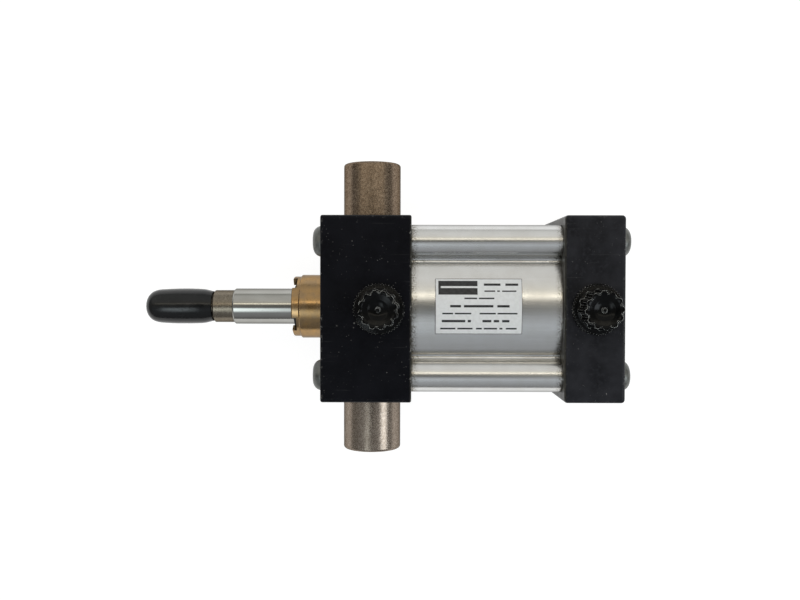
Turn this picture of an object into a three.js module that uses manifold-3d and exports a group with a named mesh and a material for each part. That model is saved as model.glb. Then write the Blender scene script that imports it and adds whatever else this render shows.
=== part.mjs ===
// A short-stroke pneumatic cylinder: 2.5 in bore, 1 in stroke, and a trunnion pin on each side of its head.
// Millimetres, +Z up. X runs along the rod axis, with the rod end at -X and the cap end at +X. The trunnions
// point along Y and the ports face up. The origin is on the resting face of the head, below the point
// where the trunnion axis crosses the rod axis. The piston is modelled fully retracted.
import * as THREE from "three";
import { mergeVertices } from "three/addons/utils/BufferGeometryUtils.js";
import Module from "manifold-3d";

const wasm = await Module();
wasm.setup();

// ---- Driving dimensions ----
const BLOCK = 76.2; // side of the square head and cap
const BLOCK_EDGE_R = 1; // rounding of their long edges
const BLOCK_BEVEL = 0.7; // bevel round their end faces
const HEAD_FRONT = -19.6; // rod-side face of the head; the trunnion axis is X = 0
const HEAD_BACK = 17.4;
const BARREL_LENGTH = 62;
const CAP_FRONT = HEAD_BACK + BARREL_LENGTH;
const CAP_BACK = CAP_FRONT + 24.6;
const BORE_R = 31.75;
const STROKE = 25.4;
const ROD_R = 7.94;
const STUD_R = 6.3; // thread at each end of the rod
const AXIS_Z = BLOCK / 2;
const SPIGOT = 4; // how far the head and the cap reach into the barrel
const PISTON_CLEARANCE = 0.3; // left ahead of the piston at each end of its stroke

const BODY_R = 34.9; // barrel's round outside
const CORNER = 27.8; // distance of each corner screw from the rod axis, along Y and along Z
const TUBE_R = 6.9; // barrel's corner tubes
const TUBE_FILLET = 1.6;
const CHANNEL_R = 4.2; // screw channel in each corner tube

// The label lies on the barrel's round top and reaches so many degrees to each side of it, -Y first.
const LABEL = { from: 27.2, length: 35.4, thickness: 0.15, reach: [-17, 20.5] };

const TRUNNION_R = 12.7;
const TRUNNION_SPAN = 127; // over both trunnion ends
const TRUNNION_SEAT = 8; // depth of the pin in the head
const TRUNNION_STUD = 15.5; // depth of its threaded stud in the head

const GLAND_R = 14.15;
const GLAND_NOSE_R = 13.4;
const GLAND_PILOT_R = 12.9;
const GLAND_TIP = -34.9;
const GLAND_SHOULDER = -31.6;
const GLAND_STEP = -3.5;
const GLAND_END = 9;
const GLAND_SLOT = { width: 7, depth: 2.1, turn: 8.7 };

const ROD_TIP = -98.2;
const NECK_TIP = -71;
const ROD_SHOULDER = -61.8;
const NECK_R = 7.19;

const PORT_R = 8.5;
const PORT_FLOOR = 20; // height of the port's floor above the rod axis
const PASSAGE_R = 2.8;
const PASSAGE_Z = 24;
const HEAD_PORT_X = 4.2;
const CAP_PORT_X = 92.5;
const CAP_POCKET_R = 13; // hollow in the cap's spigot that the piston's nut runs into

const SCREW_R = 3.95;
const SCREW_BITE = 18; // screw length inside the barrel
const SCREW_HEAD = { radius: 6.45, height: 3.65, socket: 4.76, depth: 2.4 };

const GAP = 0.1; // between parts that bear on each other
const RUN = 0.15; // between a shaft and its bearing
const SEAL_GAP = 0.2; // between a seal and its groove

// Steps round a full turn
const LARGE = 48;
const MEDIUM = 32;
const SMALL = 24;
const TINY = 12;
const SCREW_STEPS = 16;

// ---- Colours ----
const paint = (color, roughness, metalness) =>
  new THREE.MeshStandardMaterial({ color, roughness, metalness });
const BLACK_ANODISED = paint(0x14151a, 0.5, 0.6);
const ALUMINIUM = paint(0xb9bbbb, 0.35, 1);
const BRONZE = paint(0xa58350, 0.4, 1);
const CHROME = paint(0xc4c6c4, 0.12, 1);
const BROWN_STEEL = paint(0x6f6157, 0.5, 0.9);
const BLACK_STEEL = paint(0x2b2c2c, 0.45, 0.8);
const BLACK_VINYL = paint(0x121416, 0.3, 0);
const BLACK_PLASTIC = paint(0x0b0c0d, 0.35, 0);
const SEAL_RUBBER = paint(0x1b1b1b, 0.7, 0);
const BEARING_PLASTIC = paint(0x6b4a2c, 0.6, 0);
const LABEL_FILM = paint(0xd9dadb, 0.45, 0);

// ---- Shapes ----

// The solid that a closed geometry encloses.
function solidOf(geometry) {
  const bare = geometry.clone();
  bare.deleteAttribute("normal");
  bare.deleteAttribute("uv");
  const merged = mergeVertices(bare, 1e-3);
  const triVerts = new Uint32Array(merged.index.array);
  return new wasm.Manifold(
    new wasm.Mesh({ numProp: 3, vertProperties: merged.attributes.position.array, triVerts }),
  );
}

function geometryOf(solid) {
  const { vertProperties, triVerts } = solid.getMesh();
  return new THREE.BufferGeometry()
    .setAttribute("position", new THREE.BufferAttribute(vertProperties, 3))
    .setIndex(new THREE.BufferAttribute(triVerts, 1));
}

function cut(from, ...tools) {
  return geometryOf(tools.reduce((rest, tool) => rest.subtract(solidOf(tool)), solidOf(from)));
}

function join(first, ...others) {
  return geometryOf(others.reduce((rest, other) => rest.add(solidOf(other)), solidOf(first)));
}

// A profile of [x, radius] pairs turned round the X axis. A profile that doesn't reach the axis is a ring.
function turned(profile, steps) {
  const ring = profile[0][1] > 0;
  const points = (ring ? [...profile, profile[0]] : profile).map(([x, r]) => new THREE.Vector2(r, x));
  if (THREE.ShapeUtils.area(points) < 0) points.reverse();
  return new THREE.LatheGeometry(points, steps).rotateZ(-Math.PI / 2);
}

const rod = (radius, from, to, steps) =>
  turned([[from, 0], [from, radius], [to, radius], [to, 0]], steps);

// An O-ring round the X axis.
function oRing(x, radius, section, steps) {
  const profile = arc(x, radius, section / 2, 0, 2 * Math.PI, 6).slice(1);
  return turned(profile.map((p) => [p.x, p.y]), steps);
}

function arc(cx, cy, radius, from, to, steps) {
  return Array.from({ length: steps + 1 }, (_, i) => {
    const angle = from + ((to - from) * i) / steps;
    return new THREE.Vector2(cx + radius * Math.cos(angle), cy + radius * Math.sin(angle));
  });
}

// A shape in the YZ plane pushed along X. The shape is symmetric in Z, so its handedness doesn't matter.
function pushed(outline, holes, from, to) {
  const shape = new THREE.Shape(outline);
  shape.holes = holes.map((hole) => new THREE.Path(hole));
  return new THREE.ExtrudeGeometry(shape, { depth: to - from, bevelEnabled: false })
    .rotateY(Math.PI / 2)
    .translate(from, 0, 0);
}

const quarters = [0, 1, 2, 3].map((i) => (i * Math.PI) / 2);
const corners = [[1, 1], [-1, 1], [-1, -1], [1, -1]];

function roundedSquare(side, radius) {
  const c = side / 2 - radius;
  const corner = ([sx, sy], i) => arc(sx * c, sy * c, radius, quarters[i], quarters[i] + Math.PI / 2, 4);
  return corners.flatMap(corner);
}

// A square block with rounded long edges and a bevel round each end face.
function block(from, to) {
  const grown = (inset) => roundedSquare(BLOCK - 2 * inset, BLOCK_EDGE_R - inset);
  const levels = [[from, BLOCK_BEVEL], [from + BLOCK_BEVEL, 0], [to - BLOCK_BEVEL, 0], [to, BLOCK_BEVEL]];
  const rings = levels.map(([x, inset]) => grown(inset).map((p) => [x, p.x, p.y]));
  const n = rings[0].length;
  const index = [];
  for (let k = 0; k < rings.length - 1; k++)
    for (let i = 0; i < n; i++) {
      const [a, b] = [k * n + i, k * n + ((i + 1) % n)];
      index.push(a, b, b + n, a, b + n, a + n);
    }
  const last = (rings.length - 1) * n;
  for (let i = 1; i < n - 1; i++) index.push(0, i + 1, i, last, last + i, last + i + 1);
  return new THREE.BufferGeometry()
    .setAttribute("position", new THREE.Float32BufferAttribute(rings.flat(2), 3))
    .setIndex(index);
}

// The four screw channels, from one X to another.
const cornerHoles = (radius, from, to) =>
  corners.map(([sy, sz]) => rod(radius, from, to, TINY).translate(0, sy * CORNER, sz * CORNER));

// A port from the top of a block: a threaded socket and the drilling that leads from it to the barrel.
function port(x, mouth) {
  const socket = rod(PORT_R, PORT_FLOOR, BLOCK / 2 + 1, SMALL).rotateY(-Math.PI / 2).translate(x, 0, 0);
  const [from, to] = [Math.min(x, mouth), Math.max(x, mouth)];
  return [socket, rod(PASSAGE_R, from, to, TINY).translate(0, 0, PASSAGE_Z)];
}

// The round spigot that centres the barrel, with its O-ring groove. It points along +X from `from`.
const SPIGOT_R = BORE_R - 0.25;
const SPIGOT_GROOVE = { from: 0.9, to: 3.1, radius: 29.4 };
function spigot(from) {
  const [grooveFrom, grooveTo] = [from + SPIGOT_GROOVE.from, from + SPIGOT_GROOVE.to];
  return turned([
    [from - 1, 0], [from - 1, SPIGOT_R - 1], [from, SPIGOT_R - 1], [from, SPIGOT_R],
    [grooveFrom, SPIGOT_R], [grooveFrom, SPIGOT_GROOVE.radius],
    [grooveTo, SPIGOT_GROOVE.radius], [grooveTo, SPIGOT_R],
    [from + SPIGOT - 0.3, SPIGOT_R], [from + SPIGOT, SPIGOT_R - 0.3], [from + SPIGOT, 0],
  ], LARGE);
}

// ---- Fixed parts ----

function head() {
  const trunnionSeat = rod(TRUNNION_R + 0.2, BLOCK / 2 - TRUNNION_SEAT - GAP, BLOCK / 2 + 1, SMALL);
  const trunnionStud = rod(STUD_R + 0.2, BLOCK / 2 - TRUNNION_STUD - GAP, BLOCK / 2, SMALL);
  const glandBore = turned([
    [HEAD_FRONT - 1, 0], [HEAD_FRONT - 1, GLAND_R + RUN], [GLAND_STEP + GAP, GLAND_R + RUN],
    [GLAND_STEP + GAP, GLAND_PILOT_R + RUN], [HEAD_BACK + SPIGOT + 1, GLAND_PILOT_R + RUN],
    [HEAD_BACK + SPIGOT + 1, 0],
  ], MEDIUM);
  return cut(
    join(block(HEAD_FRONT, HEAD_BACK), spigot(HEAD_BACK)),
    glandBore,
    ...[1, -1].flatMap((side) =>
      [trunnionSeat, trunnionStud].map((hole) => hole.clone().rotateZ((side * Math.PI) / 2))),
    ...port(HEAD_PORT_X, HEAD_BACK + SPIGOT + 1),
    ...cornerHoles(SCREW_R + 0.35, HEAD_FRONT - 1, HEAD_BACK + 1),
  );
}

function cap() {
  const nutPocket = rod(CAP_POCKET_R, CAP_FRONT - SPIGOT - 1, CAP_FRONT + 1, SMALL);
  return cut(
    join(block(CAP_FRONT, CAP_BACK), spigot(-CAP_FRONT).rotateZ(Math.PI)),
    nutPocket,
    ...port(CAP_PORT_X, CAP_FRONT - SPIGOT - 1),
    ...cornerHoles(SCREW_R + 0.35, CAP_FRONT - 1, CAP_BACK + 1),
  );
}

// One extrusion: a round tube with a screw tube blended into each corner.
function barrel() {
  const reach = CORNER * Math.SQRT2;
  const [toFillet, tubeToFillet] = [BODY_R + TUBE_FILLET, TUBE_R + TUBE_FILLET];
  const spread = Math.acos((toFillet ** 2 + reach ** 2 - tubeToFillet ** 2) / (2 * toFillet * reach));
  const outline = corners.flatMap(([sy, sz], i) => {
    const middle = quarters[i] + Math.PI / 4;
    const tube = new THREE.Vector2(sy * CORNER, sz * CORNER);
    const fillets = [-spread, spread].map((a) =>
      new THREE.Vector2(Math.cos(middle + a), Math.sin(middle + a)).multiplyScalar(toFillet));
    const lean = fillets.map((f) => f.clone().sub(tube).angle());
    const turn = (angle, after) => angle + 2 * Math.PI * Math.ceil((after - angle) / (2 * Math.PI));
    const tubeEnd = turn(lean[1], lean[0]);
    const [before, after] = [middle - spread, middle + spread];
    const inward = (angle) => angle + Math.PI;
    const fillet = (at, from, to) => arc(at.x, at.y, TUBE_FILLET, from, to, 3);
    return [
      ...fillet(fillets[0], inward(before), turn(inward(lean[0]), before)),
      ...arc(tube.x, tube.y, TUBE_R, lean[0], tubeEnd, 12),
      ...fillet(fillets[1], turn(inward(lean[1]), after), inward(after)),
      ...arc(0, 0, BODY_R, after, before + Math.PI / 2, 9).slice(1, -1),
    ];
  });
  const ring = (cy, cz, radius, steps) => arc(cy, cz, radius, 0, 2 * Math.PI, steps).slice(1);
  const holes = [
    ring(0, 0, BORE_R, LARGE),
    ...corners.map(([sy, sz]) => ring(sy * CORNER, sz * CORNER, CHANNEL_R, TINY)),
  ];
  return pushed(outline, holes, HEAD_BACK + GAP, CAP_FRONT - GAP);
}

// A pin that stands on the head, its axis along local X, with a stud below and a centre mark in its end.
function trunnion() {
  const face = BLOCK / 2;
  const [root, seat, end] = [face - TRUNNION_STUD, face - TRUNNION_SEAT, TRUNNION_SPAN / 2];
  return turned([
    [root, 0], [root, STUD_R - 1], [root + 1, STUD_R], [seat, STUD_R], [seat, TRUNNION_R - 0.5],
    [seat + 0.5, TRUNNION_R], [end - 1.2, TRUNNION_R], [end - 0.35, TRUNNION_R - 0.35],
    [end, TRUNNION_R - 1.2], [end, 2.4], [end - 2.2, 1.1], [end - 4, 0],
  ], SMALL);
}

// A button-head socket screw, its head against X = 0 and its shank along +X.
function cornerScrew(length) {
  const { radius, height, socket, depth } = SCREW_HEAD;
  const crown = 2.9; // radius of the flat top
  const dome = arc(0, 0, 1, 0, Math.PI / 2, 4).map((p) => [-height * p.y, crown + (radius - crown) * p.x]);
  const screw = turned([
    [length, 0], [length, SCREW_R - 0.8], [length - 0.8, SCREW_R], [0, SCREW_R], [0, radius],
    ...dome.slice(1), [-height, 0],
  ], SCREW_STEPS);
  const key = new THREE.CylinderGeometry(socket / Math.sqrt(3), socket / Math.sqrt(3), 2 * depth, 6)
    .rotateZ(Math.PI / 2)
    .translate(-height, 0, 0);
  return cut(screw, key);
}

// The rod bearing, screwed into the head. It has spanner slots across its nose, and grooves for the wiper,
// the rod seal and its own O-ring.
const WIPER = { from: GLAND_TIP, to: -30.4, radius: 9.8, seatFrom: -33.6, seatRadius: 10.6 };
const ROD_SEAL = { from: -25.5, to: -20, radius: 12 };
const GLAND_RING = { from: 1, to: 3.2, radius: 11.4 };
function gland() {
  const bearing = ROD_R + RUN;
  const body = turned([
    [GLAND_TIP, WIPER.radius], [GLAND_TIP, GLAND_NOSE_R - 0.7], [GLAND_TIP + 0.7, GLAND_NOSE_R],
    [GLAND_SHOULDER, GLAND_NOSE_R], [GLAND_SHOULDER + 0.6, GLAND_R], [GLAND_STEP, GLAND_R],
    [GLAND_STEP, GLAND_PILOT_R], [GLAND_RING.from, GLAND_PILOT_R], [GLAND_RING.from, GLAND_RING.radius],
    [GLAND_RING.to, GLAND_RING.radius], [GLAND_RING.to, GLAND_PILOT_R], [GLAND_END - 0.6, GLAND_PILOT_R],
    [GLAND_END, GLAND_PILOT_R - 0.6], [GLAND_END, bearing], [ROD_SEAL.to, bearing],
    [ROD_SEAL.to, ROD_SEAL.radius], [ROD_SEAL.from, ROD_SEAL.radius], [ROD_SEAL.from, bearing],
    [WIPER.to, bearing], [WIPER.to, WIPER.seatRadius], [WIPER.seatFrom, WIPER.seatRadius],
    [WIPER.seatFrom, WIPER.radius],
  ], MEDIUM);
  const { width, depth, turn } = GLAND_SLOT;
  const slots = [45, 135].map((angle) =>
    new THREE.BoxGeometry(2 * depth, width, 4 * GLAND_R)
      .rotateX(THREE.MathUtils.degToRad(-angle - turn))
      .translate(GLAND_TIP, 0, 0));
  return cut(body, ...slots);
}

// A scraper lip that hugs the rod, held by its heel in the gland.
function rodWiper() {
  const [heelFrom, heelTo] = [WIPER.seatFrom + SEAL_GAP, WIPER.to - SEAL_GAP];
  const heelR = WIPER.seatRadius - SEAL_GAP;
  const lipFrom = GLAND_TIP + 0.4;
  return turned([
    [heelTo, ROD_R + 0.6], [heelTo, heelR], [heelFrom, heelR], [heelFrom, WIPER.radius - SEAL_GAP],
    [lipFrom, WIPER.radius - 0.5], [lipFrom, ROD_R + RUN], [lipFrom + 1.3, ROD_R + 0.6],
  ], SMALL);
}

// A U-section lip seal between two radii. Its lips point to `mouth`, and its heel is at `heel`.
function lipSeal(mouth, heel, inner, outer, steps) {
  const middle = (inner + outer) / 2;
  const lip = (outer - inner) * 0.27;
  const root = heel + (mouth - heel) * 0.42;
  return turned([
    [heel, inner], [heel, outer], [mouth, outer], [mouth, outer - lip], [root, middle], [mouth, inner + lip],
    [mouth, inner],
  ], steps);
}

// A printed film on top of the barrel, a little to the +Y side.
function label() {
  const inner = BODY_R + GAP;
  const [from, to] = LABEL.reach.map((angle) => Math.PI / 2 - THREE.MathUtils.degToRad(angle));
  const outline = [...arc(0, 0, inner + LABEL.thickness, to, from, 8), ...arc(0, 0, inner, from, to, 8)];
  return new THREE.ExtrudeGeometry(new THREE.Shape(outline), { depth: LABEL.length, bevelEnabled: false })
    .applyMatrix4(new THREE.Matrix4().set(0, 0, 1, 0, 1, 0, 0, 0, 0, 1, 0, 0, 0, 0, 0, 1))
    .translate(LABEL.from, 0, 0);
}

// A plastic plug that closes a port. It stands along local Z: a hollow shank below, a flange on the block's
// face, and a fluted hub with a dished top.
const PLUG = {
  shank: 9.5, shankR: 8.25, flange: 1.6, flangeR: 10.55, hubR: 8.2, rimR: 7.85, topR: 7.3,
  height: 13, dish: 0.6, hollowR: 4.6, flute: 0.8,
};
const FLUTES = 12;
const FLUTE_STEPS = 4;

// The hub's outline at one height, with a flute of the given depth between each two ribs.
function flutedRing(z, radius, depth) {
  const steps = FLUTES * FLUTE_STEPS;
  return Array.from({ length: steps }, (_, i) => {
    const angle = (2 * Math.PI * i) / steps;
    const r = radius - (depth / 2) * (1 - Math.cos(FLUTES * angle));
    return [r * Math.cos(angle), r * Math.sin(angle), z];
  });
}

// A solid through rings of points stacked along Z, closed below and above by fans from the two end points.
function stacked(rings, below, above) {
  const n = rings[0].length;
  const [bottom, top] = [rings.length * n, rings.length * n + 1];
  const topRing = (rings.length - 1) * n;
  const index = [];
  for (let i = 0; i < n; i++) {
    const next = (i + 1) % n;
    for (let k = 0; k < topRing; k += n) {
      const [a, b] = [k + i, k + next];
      index.push(a, b, b + n, a, b + n, a + n);
    }
    index.push(bottom, next, i, top, topRing + i, topRing + next);
  }
  return new THREE.BufferGeometry()
    .setAttribute("position", new THREE.Float32BufferAttribute([...rings, [below, above]].flat(2), 3))
    .setIndex(index);
}

function portPlug() {
  const { shank, shankR, flange, flangeR, hubR, rimR, topR, height, dish, hollowR, flute } = PLUG;
  const base = turned([
    [-shank, 0], [-shank, shankR - 0.8], [-shank + 0.8, shankR], [GAP, shankR],
    [GAP, flangeR], [flange, flangeR], [flange, 0],
  ], SMALL).rotateY(-Math.PI / 2);
  const foot = flange - 0.5;
  const rings = [[foot, hubR], [height - 0.5, rimR], [height, topR]].map(([z, r]) => flutedRing(z, r, flute));
  const hub = stacked(rings, [0, 0, foot], [0, 0, height - dish]);
  const hollow = rod(hollowR, -shank - 1, height - 4, SMALL).rotateY(-Math.PI / 2);
  return cut(join(base, hub), hollow);
}

// ---- Moving parts ----

const PISTON = {
  front: HEAD_BACK + SPIGOT + PISTON_CLEARANCE + STROKE,
  back: CAP_FRONT - SPIGOT - PISTON_CLEARANCE,
  radius: BORE_R - 0.25,
};
const SEAL_GROOVE = { width: 6, radius: 26.5, front: PISTON.front + 2.5, back: PISTON.back - 8.5 };
const BAND_GROOVE = { width: 6, radius: 30, from: PISTON.front + 11 };
const NUT = { from: PISTON.back - 5.8, height: 7, radius: 19.05 / Math.sqrt(3), pocketRadius: 11.6 };
const STATIC_RING = { from: PISTON.front + 5, to: PISTON.front + 6.9, radius: 8.1 };
const ROD_STEP = PISTON.front + 3; // where the rod steps down from its full size to its inner stud

function pistonRod() {
  const end = NUT.from + NUT.height + 1.7;
  return turned([
    [ROD_TIP, 0], [ROD_TIP, STUD_R - 1.7], [ROD_TIP + 1.9, STUD_R], [NECK_TIP, STUD_R],
    [NECK_TIP + 0.8, NECK_R], [ROD_SHOULDER, NECK_R], [ROD_SHOULDER, NECK_R + 0.15],
    [ROD_SHOULDER + 1.3, ROD_R], [ROD_STEP, ROD_R], [ROD_STEP, STUD_R], [end - 1, STUD_R],
    [end, STUD_R - 1], [end, 0],
  ], SMALL);
}

function piston() {
  const { front, back, radius } = PISTON;
  const [rodBore, studBore] = [ROD_R + 0.2, STUD_R + 0.2];
  const groove = (from, width, floor, top) =>
    [[from, top], [from, floor], [from + width, floor], [from + width, top]];
  const pocketFloor = NUT.from - GAP;
  return turned([
    [front, rodBore], [front, radius - 1], [front + 1, radius],
    ...groove(SEAL_GROOVE.front, SEAL_GROOVE.width, SEAL_GROOVE.radius, radius),
    ...groove(BAND_GROOVE.from, BAND_GROOVE.width, BAND_GROOVE.radius, radius),
    ...groove(SEAL_GROOVE.back, SEAL_GROOVE.width, SEAL_GROOVE.radius, radius),
    [back - 1, radius], [back, radius - 1],
    [back, NUT.pocketRadius], [pocketFloor, NUT.pocketRadius], [pocketFloor, studBore],
    ...groove(STATIC_RING.to, STATIC_RING.from - STATIC_RING.to, STATIC_RING.radius, studBore),
    [ROD_STEP + GAP, studBore], [ROD_STEP + GAP, rodBore],
  ], MEDIUM);
}

function pistonNut() {
  const hex = new THREE.CylinderGeometry(NUT.radius, NUT.radius, NUT.height, 6)
    .rotateZ(Math.PI / 2)
    .translate(NUT.from + NUT.height / 2, 0, 0);
  return cut(hex, rod(STUD_R + 0.2, NUT.from - 1, NUT.from + NUT.height + 1, SMALL));
}

// A soft cap pushed over the rod's thread: round end with a moulding nub, slightly waisted towards its rim.
const threadProtector = () =>
  turned([
    [-102.1, 0], [-101.5, 1.2], [-101.2, 3], [-100, 5.2], [-97.8, 7], [-93, 7.7], [-86.5, 7.93], [-76, 7.78],
    [-73.4, 7.23], [-71.3, 6.8], [-71.3, STUD_R + RUN], [-96.5, STUD_R + RUN], [-98.7, 4.9], [-99.3, 0],
  ], SMALL);

// ---- Assembly ----

const cylinder = new THREE.Group();
const onAxis = new THREE.Group(); // everything centred on the rod axis
onAxis.position.z = AXIS_Z;
cylinder.add(onAxis);

function add(name, geometry, material, parent = onAxis) {
  const mesh = new THREE.Mesh(geometry, material);
  mesh.name = name;
  parent.add(mesh);
  return mesh;
}

add("rod_end_head", head(), BLACK_ANODISED);
add("cap_end_cover", cap(), BLACK_ANODISED);
add("barrel", barrel(), ALUMINIUM);
add("rod_gland", gland(), BRONZE);
add("rod_wiper", rodWiper(), SEAL_RUBBER);
add("rating_label", label(), LABEL_FILM);

const [sealMouth, sealHeel] = [ROD_SEAL.to - SEAL_GAP, ROD_SEAL.from + SEAL_GAP];
add("rod_seal", lipSeal(sealMouth, sealHeel, ROD_R + RUN, ROD_SEAL.radius - SEAL_GAP, SMALL), SEAL_RUBBER);

// Each O-ring lies midway between the floor of its groove and the wall that it seals against.
const midway = (one, other) => (one + other) / 2;
const glandRing = [midway(GLAND_RING.from, GLAND_RING.to), midway(GLAND_RING.radius, GLAND_PILOT_R + RUN)];
add("gland_o_ring", oRing(...glandRing, 1.5, MEDIUM), SEAL_RUBBER);
const spigotMiddle = midway(SPIGOT_GROOVE.from, SPIGOT_GROOVE.to);
const spigotRingR = midway(SPIGOT_GROOVE.radius, BORE_R);
add("head_o_ring", oRing(HEAD_BACK + spigotMiddle, spigotRingR, 1.9, MEDIUM), SEAL_RUBBER);
add("cap_o_ring", oRing(CAP_FRONT - spigotMiddle, spigotRingR, 1.9, MEDIUM), SEAL_RUBBER);

const trunnionPin = trunnion();
[["trunnion_pin_left", 1], ["trunnion_pin_right", -1]].forEach(([name, side]) => {
  add(name, trunnionPin, BROWN_STEEL).rotation.z = (side * Math.PI) / 2;
});

// The corner screws: those of the head point along +X, and those of the cap along -X.
const screwEnds = [
  ["head_screw", HEAD_FRONT - GAP, 0, cornerScrew(HEAD_BACK - HEAD_FRONT + SCREW_BITE)],
  ["cap_screw", CAP_BACK + GAP, Math.PI, cornerScrew(CAP_BACK - CAP_FRONT + SCREW_BITE)],
];
screwEnds.forEach(([name, x, turn, geometry]) =>
  corners.forEach(([sy, sz], i) => {
    const screw = add(`${name}_${i + 1}`, geometry, BLACK_STEEL);
    screw.position.set(x, sy * CORNER, sz * CORNER);
    screw.rotation.z = turn;
  }),
);

const plug = portPlug();
[["head_port_plug", HEAD_PORT_X], ["cap_port_plug", CAP_PORT_X]].forEach(([name, x]) => {
  add(name, plug, BLACK_PLASTIC).position.set(x, 0, BLOCK / 2);
});

add("piston_rod", pistonRod(), CHROME);
add("piston", piston(), ALUMINIUM);
add("piston_nut", pistonNut(), BLACK_STEEL);
const staticRing = [midway(STATIC_RING.from, STATIC_RING.to), midway(STUD_R, STATIC_RING.radius)];
add("piston_static_o_ring", oRing(...staticRing, 1.4, SMALL), SEAL_RUBBER);
add("thread_protector", threadProtector(), BLACK_VINYL);

const sealSpan = (from) => [from + SEAL_GAP, from + SEAL_GROOVE.width - SEAL_GAP];
const [sealInner, sealOuter] = [SEAL_GROOVE.radius + SEAL_GAP, BORE_R - RUN];
const [frontMouth, frontHeel] = sealSpan(SEAL_GROOVE.front);
const [backHeel, backMouth] = sealSpan(SEAL_GROOVE.back);
add("piston_seal_front", lipSeal(frontMouth, frontHeel, sealInner, sealOuter, MEDIUM), SEAL_RUBBER);
add("piston_seal_back", lipSeal(backMouth, backHeel, sealInner, sealOuter, MEDIUM), SEAL_RUBBER);
const [bandFrom, bandTo] = [BAND_GROOVE.from + SEAL_GAP, BAND_GROOVE.from + BAND_GROOVE.width - SEAL_GAP];
const [bandInner, bandOuter] = [BAND_GROOVE.radius + RUN, BORE_R - RUN];
add(
  "piston_wear_band",
  turned([[bandFrom, bandInner], [bandFrom, bandOuter], [bandTo, bandOuter], [bandTo, bandInner]], MEDIUM),
  BEARING_PLASTIC,
);

export default cylinder;
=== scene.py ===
"""The looks of a short-stroke pneumatic cylinder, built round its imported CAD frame.

Shapes are made in millimetres round the rod axis: X towards the cap end, Y along the trunnions, Z up.
piece() moves each one into the row frame, in metres.
"""
import math

import bpy
from mathutils import Matrix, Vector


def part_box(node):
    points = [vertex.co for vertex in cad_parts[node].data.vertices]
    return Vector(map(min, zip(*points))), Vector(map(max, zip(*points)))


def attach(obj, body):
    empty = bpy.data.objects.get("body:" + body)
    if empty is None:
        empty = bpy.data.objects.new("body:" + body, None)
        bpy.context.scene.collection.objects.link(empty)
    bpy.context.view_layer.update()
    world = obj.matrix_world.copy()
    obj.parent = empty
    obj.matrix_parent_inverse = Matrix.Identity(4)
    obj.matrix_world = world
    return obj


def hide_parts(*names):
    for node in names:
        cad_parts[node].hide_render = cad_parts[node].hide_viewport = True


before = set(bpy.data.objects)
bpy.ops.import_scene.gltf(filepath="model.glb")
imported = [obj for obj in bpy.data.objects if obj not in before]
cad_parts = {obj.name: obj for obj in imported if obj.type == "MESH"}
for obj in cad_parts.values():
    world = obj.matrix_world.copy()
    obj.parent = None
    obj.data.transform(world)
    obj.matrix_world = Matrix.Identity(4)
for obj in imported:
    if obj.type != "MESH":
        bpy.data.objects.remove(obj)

MM = 0.001
TAU = 2 * math.pi
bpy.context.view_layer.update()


# ---- Sizes, in millimetres ----

X, Y, Z = 0, 1, 2


def extent(node, axis):
    """Where a CAD node begins and ends along one axis."""
    low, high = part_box(node)
    return low[axis] / MM, high[axis] / MM


FIT = 0.1  # left between faces that touch in the real object
RUN = 0.15  # left round the gland, and between the gland and the rod
SEAL_GAP = 0.2  # left between a seal and its seat
CHAMFER = 0.5  # at the mouth of a bored hole
PAST = 1  # how far a tool runs past the surface that it cuts, and a boss into its block

AXIS_Z = extent("rod_end_head", Z)[1] / 2
BLOCK = 2 * AXIS_Z
BLOCK_EDGE_R = 1.6
HEAD_BEVEL, CAP_BEVEL = 0.8, 1.4
HEAD_FRONT = extent("rod_end_head", X)[0]
CAP_BACK = extent("cap_end_cover", X)[1]
BARREL_FRONT, BARREL_BACK = extent("barrel", X)
HEAD_BACK = BARREL_FRONT - FIT
CAP_FRONT = BARREL_BACK + FIT
BORE_R = 31.75

SPIGOT = 4.0  # how far each block's round boss stands into the barrel
SPIGOT_R = 31.5
SPIGOT_CHAMFER = 0.3
SPIGOT_GROOVE = (0.9, 3.1)  # its O-ring groove, from the block's face
SPIGOT_GROOVE_R = 29.4
NUT_POCKET_R = 13  # the hollow in the cap that the piston's nut runs into

BODY_R = 34.9
CORNER = 27.8  # from the rod axis to a corner tube's axis, along Y and along Z
TUBE_R = 6.9
TUBE_FILLET = 1.6
CHANNEL_R = 4.2
CORNERS = ((1, 1), (-1, 1), (-1, -1), (1, -1))

TRUNNION_R = 12.7
TRUNNION_END = extent("trunnion_pin_left", Y)[1]
TRUNNION_SEAT = AXIS_Z - 8
TRUNNION_STUD = AXIS_Z - 15.5
TRUNNION_ROUNDING = 1.2
TRUNNION_GAP = 0.2
STUD_R = 6.3  # of the trunnions' studs and the rod's two studs

GLAND_TIP, GLAND_END = extent("rod_gland", X)
GLAND_R = 14.15
GLAND_NOSE_R = 13.4
GLAND_PILOT_R = 12.9
GLAND_SHOULDER = -31.6
GLAND_STEP = -3.5
GLAND_GROOVE, GLAND_GROOVE_R = (1, 3.2), 11.4
ROD_SEAL_SEAT, ROD_SEAL_SEAT_R = (-25.5, -20), 12
SLOT_WIDTH, SLOT_DEPTH = 7.0, 2.1
SLOT_TURNS = (45, 135)  # degrees round X
SLOT_TWIST = 8.7  # degrees
WIPER_SEAT, WIPER_TO = -33.6, -30.4  # the wiper's heel lies between them
WIPER_THROAT = -33.2
WIPER_R, WIPER_SEAT_R = 9.8, 10.6

ROD_TIP, ROD_END = extent("piston_rod", X)
ROD_R = 7.94
ROD_SHOULDER = -61.8
NECK_TIP = -71.0
NECK_R = 7.19
PISTON_SEAT = extent("piston", X)[0] + 3
ROD_THREAD_DEPTH = 0.75
THREAD_PITCH = 1.41
THREAD_SAMPLES = 6  # rings of points in one pitch of a cut thread

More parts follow.
